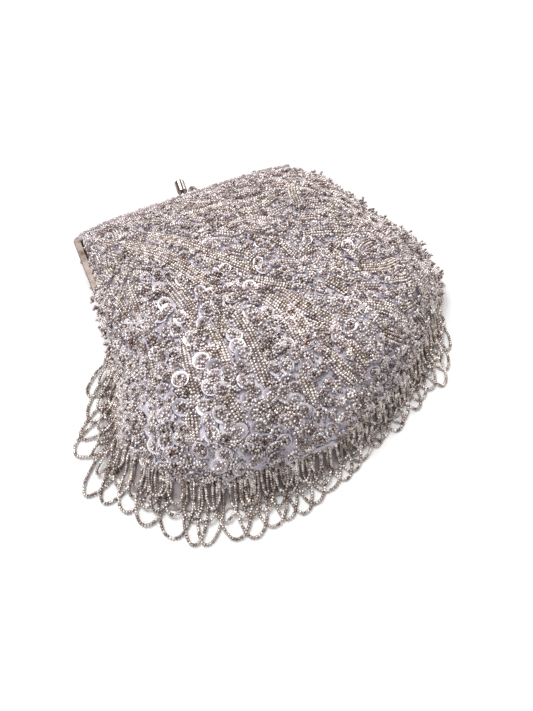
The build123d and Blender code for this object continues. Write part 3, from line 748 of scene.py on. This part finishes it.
        # larger, rounder sequins low on the left, smaller ones near the frame
        f = float(np.clip((dd[i] - 40) / 90.0, 0, 1)) * float(np.clip((60 - ss[i]) / 90.0, 0.35, 1))
        gap = rosette_gap[0] + (rosette_gap[1] - rosette_gap[0]) * f
        if taken.free(P[i], gap / 2) and L.free(P[i], 1.5):
            taken.mark(P[i], gap / 2)
            cups.append(P[i]); cup_n.append(N[i]); cup_d.append(dd[i]); cup_big.append(f)
    cups, cup_n, cup_big = np.array(cups), np.array(cup_n), np.array(cup_big)
    n = len(cups)
    down = np.tile(np.array([[0.0, -1.0, 0.0]]), (n, 1)) + rng.normal(0, 0.75, (n, 3))
    down -= (down * cup_n).sum(1, keepdims=True) * cup_n
    down /= np.linalg.norm(down, axis=1, keepdims=True) + 1e-9
    tilt = rng.uniform(0.05, 0.60, n)[:, None]
    axis = cup_n + down * tilt
    axis /= np.linalg.norm(axis, axis=1, keepdims=True)
    size = 0.62 + 0.44 * cup_big + rng.normal(0, 0.04, n)
    lift = (depth + 0.1 + rng.uniform(0.0, 0.9, n))[:, None]
    centre = cups + cup_n * lift
    has_cup = rng.random(n) < 0.34 + 0.36 * cup_big
    idx = np.where(has_cup)[0]
    pile.add("sequin", *instance(CUP, centre[idx], axis[idx], down[idx], size[idx]))
    for i in range(n):
        a = axis[i]
        x = np.cross(a, down[i]); x /= np.linalg.norm(x)
        y = np.cross(a, x)
        rr = 4.0 * size[i]
        kind = rng.random()
        if not has_cup[i] and rng.random() < 0.8:
            # a clump of beads with no sequin under it
            mm = max(6, int(rr * rr * 1.35))
            k_ = np.arange(mm) + 0.5
            rad = rr * 0.92 * np.sqrt(k_ / mm) + rng.normal(0, 0.15, mm)
            ang = k_ * 2.39996 + rng.uniform(0, 6.28)
            hgt = 0.25 + 1.35 * (1 - (rad / (rr * 1.05))**2) + rng.normal(0, 0.2, mm)
            q_ = centre[i] + x * (np.cos(ang) * rad)[:, None] + y * (np.sin(ang) * rad)[:, None] + a * hgt[:, None]
            tg = -x * np.sin(ang)[:, None] + y * np.cos(ang)[:, None] + rng.normal(0, 0.3, (mm, 3))
            key = ("silver", "champagne", "smoke")[int(rng.choice(3, p=[0.55, 0.15, 0.30]))]
            pile.add(key, *instance(BEAD_S, q_, tg, np.tile(a, (mm, 1)), rng.uniform(0.92, 1.1, mm)))
            L.mark(q_, 0.7)
            continue
        m1 = max(5, int(round(2 * math.pi * rr * 0.74 / 1.58)))
        ph = rng.uniform(0, 6.28)
        ang = ph + np.arange(m1) * 2 * math.pi / m1 + rng.normal(0, 0.09, m1)
        bare_at = rng.normal(3.6, 1.1)
        turn = np.abs((ang - bare_at + math.pi) % (2 * math.pi) - math.pi)
        stay = (rng.random(m1) < 0.93) & (turn > (0.35 + 0.75 * cup_big[i]) * (rng.random() < 0.75))
        rad = rr * rng.uniform(0.56, 0.90) + rng.normal(0, 0.2, m1)
        hgt = 0.75 + rng.normal(0, 0.22, m1) + 0.13 * rr
        ang, rad, hgt = ang[stay], rad[stay], hgt[stay]
        m1 = len(ang)
        ring = centre[i] + x * (np.cos(ang) * rad)[:, None] + y * (np.sin(ang) * rad)[:, None] + a * hgt[:, None]
        tng = -x * np.sin(ang)[:, None] + y * np.cos(ang)[:, None]
        nn = np.tile(a, (m1, 1))
        key = "silver" if kind < 0.72 else ("smoke" if kind < 0.87 else "champagne")
        pile.add(key, *instance(BEAD_S, ring, tng + rng.normal(0, 0.25, tng.shape), nn, rng.uniform(0.92, 1.1, m1)))
        m2 = 6 if rr > 3.1 else (5 if rr > 2.7 else 4)
        ang = rng.uniform(0, 6.28) + np.arange(m2) * 2 * math.pi / m2
        ring2 = centre[i] + (x * np.cos(ang)[:, None] + y * np.sin(ang)[:, None]) * (rr * 0.36) + a * (1.45 + rng.normal(0, 0.2, m2))[:, None]
        tng = rng.normal(0, 1, (m2, 3))
        pile.add("smoke" if rng.random() < 0.3 else "silver", *instance(BEAD_S, ring2, tng, np.tile(a, (m2, 1)), rng.uniform(0.95, 1.12, m2)))
        L.mark(ring, 0.75)
        L.mark(centre[i], 2.2 * size[i])
    # single beads scattered on what is left, with bare cloth between them
    tries = 42000
    dd = rng.uniform(6.8, 184.4, tries)
    l, r_ = surf.half(dd)
    span = l + r_
    ss = rng.uniform(0, 1, tries) * span - l
    keep = (rng.uniform(0, 1, tries) < span / span.max()) & (ss > -l + 0.6) & (ss < r_ - 0.6)
    dd, ss = dd[keep], ss[keep]
    P, N = surf.at(ss, dd)
    pts, nn = [], []
    for i in range(len(P)):
        if L.free(P[i], fill_gap):
            L.mark(P[i], 0.8)
            pts.append(P[i] + N[i] * (depth + rng.uniform(-0.05, 0.5))); nn.append(N[i])
    pts, nn = np.array(pts), np.array(nn)
    t = rng.normal(0, 1, nn.shape)
    k = rng.random(len(pts))
    for key, lo, hi in (("silver", 0, 0.5), ("smoke", 0.5, 0.8), ("champagne", 0.8, 1.01)):
        s_ = (k >= lo) & (k < hi)
        if s_.any():
            pile.add(key, *instance(BEAD_S, pts[s_], t[s_], nn[s_], np.random.default_rng(seed + 9).uniform(0.9, 1.1, s_.sum())))
    if surf.up > 0:
        for word, d_a, d_b, pitch, longest in ((1, 14.0, 134.0, 0.95, 3), (-1, 50.0, 96.0, 1.4, 2)):
            d_ = d_a
            while d_ < d_b:
                hl, hr = surf.half(np.array([d_]))
                s_ = (hr[0] - 0.7) if word > 0 else (-hl[0] + 0.7)
                P_, N_ = surf.at(np.array([s_]), np.array([d_]))
                out_ = np.array([float(word), rng.normal(-0.1, 0.35), rng.normal(0.15, 0.45)])
                out_ /= np.linalg.norm(out_)
                bend_ = rng.normal(0, 0.25, 3)
                cnt = int(rng.integers(1, longest + 1))
                q_ = P_[0] + out_ * (rng.uniform(-0.2, 0.5) + 0.9 * float(smooth((d_ - 25) / 20.0))) + np.array([0, 0, rng.uniform(-1.2, 1.8)])
                pts_, dirs_ = [], []
                for j in range(cnt):
                    dv = out_ + bend_ * j
                    dv /= np.linalg.norm(dv)
                    q_ = q_ + dv * (0.9 if j == 0 else 1.35)
                    pts_.append(q_.copy()); dirs_.append(dv)
                key = ("silver", "champagne", "smoke")[int(rng.choice(3, p=[0.4, 0.25, 0.35]))]
                pts_, dirs_ = np.array(pts_), np.array(dirs_)
                side_ = np.tile(np.array([[0.1, 0.2, 1.0]]), (cnt, 1))
                pile.add(key, *instance(BEAD_S, pts_, dirs_, side_, rng.uniform(0.92, 1.1, cnt)))
                if rng.random() < 0.16:
                    pile.add("sequin", *instance(CUP, P_ + out_ * 1.2, (out_ + rng.normal(0, 0.7, 3))[None], np.array([[0.0, 1.0, 0.1]]), np.array([rng.uniform(0.45, 0.6)])))
                d_ += pitch * rng.uniform(0.5, 1.5)
    print("beadwork: rosettes", n, "loose beads", len(pts))
    return L


def front_attach(o):
    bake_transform(o)


def rear_attach(o):
    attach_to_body(o, "pouch")


MATS = {"silver": M_BEAD, "champagne": M_CHAMP, "smoke": M_BROWN, "sequin": M_SEQUIN, "fringe": M_FRINGE}

front_pile = Pile()
lay_front(FRONT, front_pile, 11, BANDS, (3.9, 5.1), 0.8)
front_pieces = front_pile.write("front_beads", MATS, "beadwork", front_attach)

rear_pile = Pile()
rear_bands = [([(-x, d) for x, d in c], k) for c, k in BANDS]
lay_front(REAR, rear_pile, 23, rear_bands, (4.9, 6.0), 0.95, depth=-1.25)
rear_pieces = rear_pile.write("rear_beads", MATS, "beadwork", rear_attach)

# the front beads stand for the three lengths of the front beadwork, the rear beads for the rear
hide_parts("front_flap_beadwork", "front_fold", "front_beadwork")
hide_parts("rear_beadwork")


# ---------------------------------------------------------------------------
# Cloth: satin ground, linings, pocket
# ---------------------------------------------------------------------------


def cloth_shell(name, kind, inset, wall, d0, d1, mat, rows=120, cols=121, pucker=0.0, seed=5):
    """a thin closed sheet following the surface"""
    a, b_ = Surface(kind, inset, d0, d1, rows, cols), Surface(kind, inset + wall, d0, d1, rows, cols)
    Pa, Pb = a.P.copy(), b_.P.copy()
    if pucker:
        x, y = Pa[..., 0], Pa[..., 1]
        rng = np.random.default_rng(seed)
        h = np.zeros_like(x)
        for wl in (5.5, 6.7, 8.1, 9.7, 12.0):
            an, ph = rng.uniform(0, math.pi), rng.uniform(0, 6.28)
            h += np.sin(2 * math.pi * (x * math.cos(an) + y * math.sin(an)) / wl + ph)
        edge = np.clip((1 - np.abs(a.t))[None, :] * 8, 0, 1)
        Pa = Pa + a.N * (h * pucker * edge)[..., None]
        Pb = Pb + a.N * (h * pucker * edge)[..., None]
    V = np.concatenate([Pa.reshape(-1, 3), Pb.reshape(-1, 3)])
    R, C = rows, cols
    idx = np.arange(R * C).reshape(R, C)
    q = np.stack([idx[:-1, :-1], idx[:-1, 1:], idx[1:, 1:], idx[1:, :-1]], -1).reshape(-1, 4)
    up = a.up
    top = q if up < 0 else q[:, ::-1]
    low = (q[:, ::-1] if up < 0 else q) + R * C
    loop = np.concatenate([idx[0, :], idx[1:, -1], idx[-1, -2::-1], idx[-2:0:-1, 0]])
    nxt = np.roll(loop, -1)
    rim = np.stack([loop, nxt, nxt + R * C, loop + R * C], -1)
    if up < 0:
        rim = rim[:, ::-1]
    o = make_object(name, V, np.concatenate([top, low, rim]), mat)
    area = 0.0
    for poly in o.data.polygons:
        area += poly.area
    print("cloth", name, "one side", round(area / 2 * 1e6), "mm2")
    return o, area / 2


satin_f, area_sf = cloth_shell("front_satin_ground", "front", 1.75, 0.5, 0.8, 184.3, M_SATIN, 200, 201, pucker=0.07)
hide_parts("front_flap_satin", "front_satin")
front_attach(satin_f)
satin_r, area_sr = cloth_shell("rear_satin_ground", "rear", 1.9, 0.5, 0.8, 184.3, M_SATIN, 140, 141, pucker=0.05)
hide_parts("rear_satin")
rear_attach(satin_r)
lin_f, area_lf = cloth_shell("front_lining_cloth", "front_in", 0.05, 0.45, FRAME_BAND + 0.6, 178.6, M_LINING, 110, 121, pucker=0.06, seed=8)
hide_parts("front_flap_lining", "front_lining")
front_attach(lin_f)
lin_r, area_lr = cloth_shell("rear_lining_cloth", "rear_in", 0.05, 0.45, FRAME_BAND + 0.6, 178.6, M_LINING, 110, 121, pucker=0.05, seed=9)
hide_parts("rear_lining")
rear_attach(lin_r)

# slip pocket: a patch on the rear lining with a turned top hem
pl, ph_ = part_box("lining_pocket")
px0, px1, py0, py1, pz0 = pl[0] / MM, ph_[0] / MM, pl[1] / MM, ph_[1] / MM, pl[2] / MM
nx, ny = 60, 46
gx, gy = np.meshgrid(np.linspace(0, 1, nx), np.linspace(0, 1, ny))
cr = 7.0
X = px0 + (px1 - px0) * gx
Y = py0 + (py1 - py0) * gy
# rounded lower corners
low = np.clip((py0 + cr - Y) / cr, 0, 1)
shrink = cr * (1 - np.sqrt(np.clip(1 - low**2, 0, 1)))
X = X0 + (X - X0) * ((px1 - px0) / 2 - shrink) / ((px1 - px0) / 2)
hem = np.where(gy > 0.90, 0.35, 0.0) + 0.18 * np.sin(gx * 19) * np.sin(gy * 11)
Z1 = pz0 + 0.42 + hem
Z0 = np.full_like(Z1, pz0 + 0.02)
Vp = np.concatenate([np.stack([X, Y, Z1], -1).reshape(-1, 3), np.stack([X, Y, Z0], -1).reshape(-1, 3)])
idx = np.arange(nx * ny).reshape(ny, nx)
q = np.stack([idx[:-1, :-1], idx[:-1, 1:], idx[1:, 1:], idx[1:, :-1]], -1).reshape(-1, 4)
loop = np.concatenate([idx[0, :], idx[1:, -1], idx[-1, -2::-1], idx[-2:0:-1, 0]])
nxt = np.roll(loop, -1)
rim = np.stack([loop, loop + nx * ny, nxt + nx * ny, nxt], -1)
pocket = make_object("slip_pocket_cloth", Vp, np.concatenate([q, q[:, ::-1] + nx * ny, rim]), M_LINING)
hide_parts("lining_pocket")
rear_attach(pocket)

# ---------------------------------------------------------------------------
# Looped fringe
# ---------------------------------------------------------------------------


def outline(n=1400):
    """seam outline from the right side round the bottom to the left side, with
    outward normals, at equal steps"""
    pr = [(X0 + side(d, 1), Y_TOP - d) for d in np.linspace(FRINGE_FROM[0] - 1, BODY_LEN - 0.3, 700)]
    plf = [(X0 - side(d, -1), Y_TOP - d) for d in np.linspace(BODY_LEN - 0.3, FRINGE_FROM[1] - 1, 700)]
    p = np.array(pr + [(X0 - 7.0, Y_TOP - BODY_LEN - 0.3)] + plf)
    c = np.concatenate([[0], np.cumsum(np.hypot(*np.diff(p, axis=0).T))])
    u = np.linspace(0, c[-1], n)
    q_ = np.stack([np.interp(u, c, p[:, 0]), np.interp(u, c, p[:, 1])], -1)
    k = np.ones(41) / 41
    t = np.gradient(q_, axis=0)
    t = np.stack([np.convolve(np.pad(t[:, i], 20, mode="edge"), k, mode="valid") for i in (0, 1)], -1)
    t /= np.linalg.norm(t, axis=1, keepdims=True)
    return q_, np.stack([t[:, 1], -t[:, 0]], -1) * 1.0, u


OUT, OUT_N, OUT_U = outline()
if OUT_N[len(OUT) // 2, 1] > 0:
    OUT_N = -OUT_N
PERIM = OUT_U[-1]
FALL = np.array([-0.43, -0.90])


def reach_at(u):
    return follow(FRINGE_REACH, u / PERIM)


# how the strands hang differs round the seam: (share of the way, longer by)
HANG = [(0.0, -3.5), (0.12, -1.5), (0.2, 0.0), (0.27, -3.5), (0.36, -4.5), (0.44, -2.0), (0.50, 0.8), (0.56, 2.5), (0.64, 4.5), (0.70, 3.0),
        (0.78, -1.5), (0.85, 0.5), (0.92, -1.0), (1.0, -3.0)]


def on_outline(u):
    i = np.clip(np.interp(u, OUT_U, np.arange(len(OUT))), 0, len(OUT) - 1)
    return (np.array([np.interp(i, np.arange(len(OUT)), OUT[:, k]) for k in (0, 1)]),
            np.array([np.interp(i, np.arange(len(OUT)), OUT_N[:, k]) for k in (0, 1)]))


def bead_path(P, step=1.42):
    """evenly spaced bead places and directions along a 3-D path"""
    c = np.concatenate([[0], np.cumsum(np.linalg.norm(np.diff(P, axis=0), axis=1))])
    u = np.arange(step / 2, c[-1], step)
    Q = np.stack([np.interp(u, c, P[:, k]) for k in range(3)], -1)
    return Q, np.gradient(Q, axis=0)


FB = bead_template(0.82, 1.28, 8)
fringe_pile = Pile()
fr = np.random.default_rng(77)
loops = 0


def fringe_loop(u0, width, length, z_tip, key, z_root=13.0, sway=0.0, inner=0.0):
    """one loop: down from the seam at u0, round, and back up at u0 + width"""
    global loops
    (a, na), (b_, nb) = on_outline(u0), on_outline(u0 + width)
    n = na + nb; n /= np.linalg.norm(n)
    away = 0.45 + 0.22 * float(smooth((u0 / PERIM - 0.80) / 0.10))
    v = away * n + (1 - away) * FALL + sway * np.array([-n[1], n[0]])
    v /= np.linalg.norm(v)
    reach = (length + follow(HANG, (u0 + width / 2) / PERIM) * (length / reach_at(u0 + width / 2))) / max(0.75, float(v @ n))
    t = np.linspace(0, 1, 90)
    e = np.sign(np.cos(math.pi * t)) * np.abs(np.cos(math.pi * t)) ** 0.8
    out = np.sin(math.pi * t) ** 0.75
    mid = (a + b_) / 2
    half = (b_ - a) / 2
    bulge = 1 + 0.22 * np.sin(math.pi * np.clip(out, 0, 1)) + 0.10 * out
    xy = mid - n * inner + np.outer(-e * bulge, half) + np.outer(out * reach, v)
    drop = smooth(np.clip(out * reach / 9.0, 0, 1))
    z = z_root + (z_tip - z_root) * drop
    wob = fr.normal(0, 0.25, 6)
    z = z + 0.25 * np.sin(t * 9 + wob[0])
    xy = xy + np.outer(np.sin(t * math.pi) * wob[1], [1, 0]) * 0.8
    P = np.column_stack([xy, np.maximum(z, 0.8)])
    Q, T = bead_path(P)
    Q = Q + fr.normal(0, 0.04, Q.shape)
    nn = np.tile(np.array([[0.0, 0.0, 1.0]]), (len(Q), 1))
    fringe_pile.add(key, *instance(FB, Q, T, nn, fr.uniform(0.94, 1.06, len(Q))))
    loops += 1


# two rows of loops, each overlapping its neighbours; loose long ones at the left
u = 0.11 * PERIM
while u < PERIM - 11:
    f = u / PERIM
    loose = float(smooth((f - 0.74) / 0.08))
    w = fr.uniform(9.0, 14.0) + 3.0 * loose
    fringe_loop(u, w, reach_at(u + w / 2) + 0.5 + fr.normal(0, 1.3) + loose * fr.uniform(-4.0, 3.0), 1.0 + fr.uniform(0, 0.4), "fringe",
                sway=fr.normal(0, 0.05 + 0.12 * loose))
    u += w * (fr.uniform(0.6, 0.85) + 0.10 * loose)
u = 0.09 * PERIM
while u < PERIM - 10:
    f = u / PERIM
    w = fr.uniform(7.0, 10.5)
    fringe_loop(u, w, reach_at(u + w / 2) * 0.66 + fr.normal(0, 1.2), 2.4 + fr.uniform(0, 0.6), "fringe", z_root=14.0, sway=fr.normal(0, 0.06), inner=0.8)
    if fr.random() < 0.75:
        w2 = fr.uniform(4.5, 7.0)
        fringe_loop(u + fr.uniform(-2, 3), w2, reach_at(u + w2 / 2) * fr.uniform(0.36, 0.52), 4.6 + fr.uniform(0, 1.2), "fringe", z_root=14.6, sway=fr.normal(0, 0.08), inner=1.0)
    u += w * fr.uniform(0.62, 0.9)
u = 1.5
while u < 0.10 * PERIM:
    w = fr.uniform(4.0, 6.5)
    fringe_loop(u, w, 4.2 + fr.normal(0, 0.7), 4.0 + fr.uniform(0, 1.5), "fringe", z_root=13.4, sway=fr.normal(0, 0.1), inner=0.8)
    fringe_loop(u + 1.2, w * 0.9, 6.0 + fr.normal(0, 0.8), 1.4 + fr.uniform(0, 0.8), "fringe", z_root=12.0, sway=fr.normal(0, 0.1), inner=0.4)
    u += w * 0.6
fringe_pieces = fringe_pile.write("fringe_strands", MATS, "beadwork", rear_attach)
print("fringe loops", loops)

# the front cloth turns down onto the frame along the top edge
nt_, mt_ = 97, 7
lt = np.linspace(-1, 1, nt_)
hl_, hr_ = FRONT.half(np.array([0.8]))
ta = FRONT.at(lt * np.where(lt < 0, hl_[0], hr_[0]), np.full(nt_, 0.8))[0]
V = []
for i in range(nt_):
    low_z = min(ta[i, 2] - 0.2, FRONT_HI - 0.05)
    for j in range(mt_):
        s_ = j / (mt_ - 1)
        V.append((ta[i, 0], ta[i, 1] + 0.1 - 0.9 * s_ + 0.5 * math.sin(math.pi * s_), ta[i, 2] * (1 - s_) + low_z * s_))
V = np.array(V)
V2 = V + np.array([0.0, -0.4, 0.0])
idx = np.arange(nt_ * mt_).reshape(nt_, mt_)
q = np.stack([idx[:-1, :-1], idx[1:, :-1], idx[1:, 1:], idx[:-1, 1:]], -1).reshape(-1, 4)
loop = np.concatenate([idx[0, :], idx[1:, -1], idx[-1, -2::-1], idx[-2:0:-1, 0]])
nxt = np.roll(loop, -1)
rim = np.stack([loop, nxt, nxt + nt_ * mt_, loop + nt_ * mt_], -1)
turned = make_object("top_edge_turning", np.concatenate([V, V2]), np.concatenate([q, q[:, ::-1] + nt_ * mt_, rim]), M_SATIN)
front_attach(turned)
top_pile = Pile()
tr = np.random.default_rng(515)
G = V.reshape(nt_, mt_, 3)
xs_ = np.arange(G[0, 0, 0] + 1.0, G[-1, 0, 0] - 1.0, 1.42)
for row in range(4):
    pts_ = []
    for x_ in xs_:
        i_ = int(np.clip(np.searchsorted(G[:, 0, 0], x_), 1, nt_ - 1))
        w_ = (x_ - G[i_ - 1, 0, 0]) / (G[i_, 0, 0] - G[i_ - 1, 0, 0])
        col = G[i_ - 1] * (1 - w_) + G[i_] * w_
        z_ = col[0, 2] - 0.3 - 1.25 * row
        if z_ < FRONT_HI + 0.35:
            continue
        y_ = np.interp(-z_, -col[:, 2], col[:, 1])
        pts_.append((x_ + tr.normal(0, 0.1), y_ + 0.45, z_ + tr.normal(0, 0.12)))
    if len(pts_) > 3:
        pts_ = np.array(pts_)
        top_pile.add("silver" if row % 2 else "champagne", *instance(BEAD_S, pts_, np.tile(np.array([[1.0, 0.0, 0.0]]), (len(pts_), 1)) + tr.normal(0, 0.2, pts_.shape),
                     np.tile(np.array([[0.0, 1.0, 0.0]]), (len(pts_), 1)), tr.uniform(0.95, 1.1, len(pts_))))
top_pile.write("top_edge_beads", MATS, "beadwork", front_attach)

# rows of beads that cover the seam between the front and the fringe
edge_pile = Pile()
er = np.random.default_rng(404)
for off, zz, key in ((-0.9, 14.6, "silver"), (-0.2, 13.4, "smoke"), (0.4, 12.2, "silver"), (0.9, 10.9, "smoke")):
    uu_ = np.arange(0.6, PERIM - 0.6, 1.36)
    pts_ = []
    for k_, u_ in enumerate(uu_):
        p_, n_ = on_outline(u_)
        o_ = off + er.normal(0, 0.25)
        pts_.append((p_[0] + n_[0] * o_, p_[1] + n_[1] * o_, zz + er.normal(0, 0.35)))
    pts_ = np.array(pts_)
    tn_ = np.gradient(pts_, axis=0) + er.normal(0, 0.3, pts_.shape)
    edge_pile.add(key, *instance(BEAD_S, pts_, tn_, np.tile(np.array([[0.0, 0.0, 1.0]]), (len(pts_), 1)), er.uniform(0.95, 1.15, len(pts_))))
edge_pile.write("edge_beads", MATS, "beadwork", rear_attach)

# the front and rear cloth are bound together along the bottom end
nb_, mb_ = 61, 9
fa = FRONT.at(np.linspace(-1, 1, nb_) * np.where(np.linspace(-1, 1, nb_) < 0, FRONT.half(np.array([184.8]))[0][0], FRONT.half(np.array([184.8]))[1][0]), np.full(nb_, 184.8))[0]
ra = fa.copy()
ra[:, 2] = 3.0
V = []
for i in range(nb_):
    for j in range(mb_):
        s_ = j / (mb_ - 1)
        V.append(fa[i] * (1 - s_) + ra[i] * s_ + np.array([0.0, -0.2 - 0.9 * math.sin(math.pi * s_), 0.0]))
V = np.array(V)
V2 = V + np.array([0.0, 0.45, 0.0])
idx = np.arange(nb_ * mb_).reshape(nb_, mb_)
q = np.stack([idx[:-1, :-1], idx[:-1, 1:], idx[1:, 1:], idx[1:, :-1]], -1).reshape(-1, 4)
loop = np.concatenate([idx[0, :], idx[1:, -1], idx[-1, -2::-1], idx[-2:0:-1, 0]])
nxt = np.roll(loop, -1)
rim = np.stack([loop, loop + nb_ * mb_, nxt + nb_ * mb_, nxt], -1)
binding = make_object("bottom_binding", np.concatenate([V, V2]), np.concatenate([q, q[:, ::-1] + nb_ * mb_, rim]), M_SATIN)
rear_attach(binding)

# the edge tape that the loops are sewn to: it slopes from the seam to the table. Its outer part on the table and its
# dark beige-grey are painted shade, standing for the shaded table inside the loops.
nu, nw = 220, 9
V = []
for i in range(nu):
    uu = 0.5 + (PERIM - 1.0) * i / (nu - 1)
    p, n = on_outline(uu)
    wdt = 3.0 + 0.5 * reach_at(uu) + 0.8 * math.sin(i * 0.9) + 0.5 * math.sin(i * 2.3)
    wdt *= 0.25 + 0.75 * float(smooth(min(uu, PERIM - uu) / 22.0))
    wdt *= 0.55 + 0.45 * float(smooth((uu / PERIM - 0.08) / 0.06))
    for j in range(nw):
        s_ = j / (nw - 1)
        V.append((p[0] + n[0] * (s_ * wdt - 3.0), p[1] + n[1] * (s_ * wdt - 3.0), 11.2 + (1.15 - 11.2) * float(smooth((s_ - 0.12) * 1.6))))
V = np.array(V)
V2 = V.copy(); V2[:, 2] -= 0.4
idx = np.arange(nu * nw).reshape(nu, nw)
q = np.stack([idx[:-1, :-1], idx[:-1, 1:], idx[1:, 1:], idx[1:, :-1]], -1).reshape(-1, 4)
loop = np.concatenate([idx[0, :], idx[1:, -1], idx[-1, -2::-1], idx[-2:0:-1, 0]])
nxt = np.roll(loop, -1)
rim = np.stack([loop, loop + nu * nw, nxt + nu * nw, nxt], -1)
tape = make_object("fringe_tape_and_painted_shade", np.concatenate([V, V2]), np.concatenate([q, q[:, ::-1] + nu * nw, rim]), M_TAPE_AND_PAINTED_SHADE)
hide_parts("bead_fringe")
rear_attach(tape)

# ---------------------------------------------------------------------------
# Metal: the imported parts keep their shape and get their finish
# ---------------------------------------------------------------------------
for n_, mat in (("front_frame", M_FRAME), ("rear_frame", M_FRAME), ("left_hinge_rivet", M_FRAME), ("right_hinge_rivet", M_FRAME),
                ("left_ring_eye", M_FRAME), ("right_ring_eye", M_FRAME), ("left_chain_ring", M_RING), ("right_chain_ring", M_RING),
                ("front_clasp_stem", M_KNOB), ("front_clasp_knob", M_KNOB), ("rear_clasp_stem", M_KNOB), ("rear_clasp_knob", M_KNOB)):
    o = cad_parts[n_]
    o.data.materials.clear()
    o.data.materials.append(mat)

# ---------------------------------------------------------------------------
# Floor, light, camera
# ---------------------------------------------------------------------------
bpy.ops.mesh.primitive_plane_add(size=6.0, location=(0, 0, -0.0003))
floor = bpy.context.object
floor.name = "floor"
fm, nt, b = new_mat("floor_white", (0.80, 0.80, 0.80), 0.75)
co = coords(nt)
fn = node(nt, "ShaderNodeTexNoise", in_Scale=3.0)
nt.links.new(co, fn.inputs["Vector"])
r = ramp(nt, fn.outputs["Fac"], [(0.3, (0.795, 0.795, 0.795)), (0.7, (0.81, 0.81, 0.81))])
nt.links.new(r.outputs["Color"], b.inputs["Base Color"])
b.inputs["Specular IOR Level"].default_value = 0.1
floor.data.materials.append(fm)

scene = bpy.context.scene
world = bpy.data.worlds.new("studio")
scene.world = world
world.use_nodes = True
bg = world.node_tree.nodes["Background"]
bg.inputs["Color"].default_value = (0.98, 0.99, 1.0, 1)
bg.inputs["Strength"].default_value = 0.25


def area_light(name, loc, target, size, energy, colour=(1, 1, 1)):
    li = bpy.data.lights.new(name, "AREA")
    li.shape = "RECTANGLE"
    li.size, li.size_y = size
    li.energy = energy
    li.color = colour
    o = bpy.data.objects.new(name, li)
    scene.collection.objects.link(o)
    o.location = loc
    o.rotation_euler = (Vector(target) - Vector(loc)).to_track_quat("-Z", "Y").to_euler()
    return o


area_light("key", (-0.20, 0.34, 0.92), (0, 0, 0), (0.40, 0.40), 7.0, (1.0, 0.98, 0.965))
area_light("top", (-0.05, -0.05, 1.1), (0, 0, 0), (0.6, 0.6), 5.0, (1.0, 1.0, 1.0))
area_light("fill", (-0.8, -0.4, 0.5), (0, 0, 0.01), (0.4, 0.5), 2.2, (0.96, 0.98, 1.0))
area_light("back", (0.7, 0.2, 0.45), (0, 0, 0.01), (0.4, 0.5), 2.6, (1.0, 0.98, 0.95))

az, el, roll, dist, f_px = math.radians(-25.6), math.radians(56.9), math.radians(-0.5), 320.3, 603.8
back = Vector((math.sin(az) * math.cos(el), -math.cos(az) * math.cos(el), math.sin(el)))
right = Vector((math.cos(az), math.sin(az), 0))
up = back.cross(right)
r2 = right * math.cos(roll) + up * math.sin(roll)
u2 = -right * math.sin(roll) + up * math.cos(roll)
target = Vector((X0 - 4.0, Y_TOP - 124.5, 12.0))
cam_data = bpy.data.cameras.new("camera")
cam = bpy.data.objects.new("camera", cam_data)
scene.collection.objects.link(cam)
cam.matrix_world = Matrix(((r2.x, u2.x, back.x, (target.x + back.x * dist) * MM),
                           (r2.y, u2.y, back.y, (target.y + back.y * dist) * MM),
                           (r2.z, u2.z, back.z, (target.z + back.z * dist) * MM),
                           (0, 0, 0, 1)))
cam_data.sensor_fit = "AUTO"
cam_data.sensor_width = 36.0
cam_data.lens = f_px * 36.0 / 711.0
cam_data.clip_start = 0.01
scene.camera = cam
scene.view_settings.view_transform = "Standard"

bpy.context.view_layer.update()
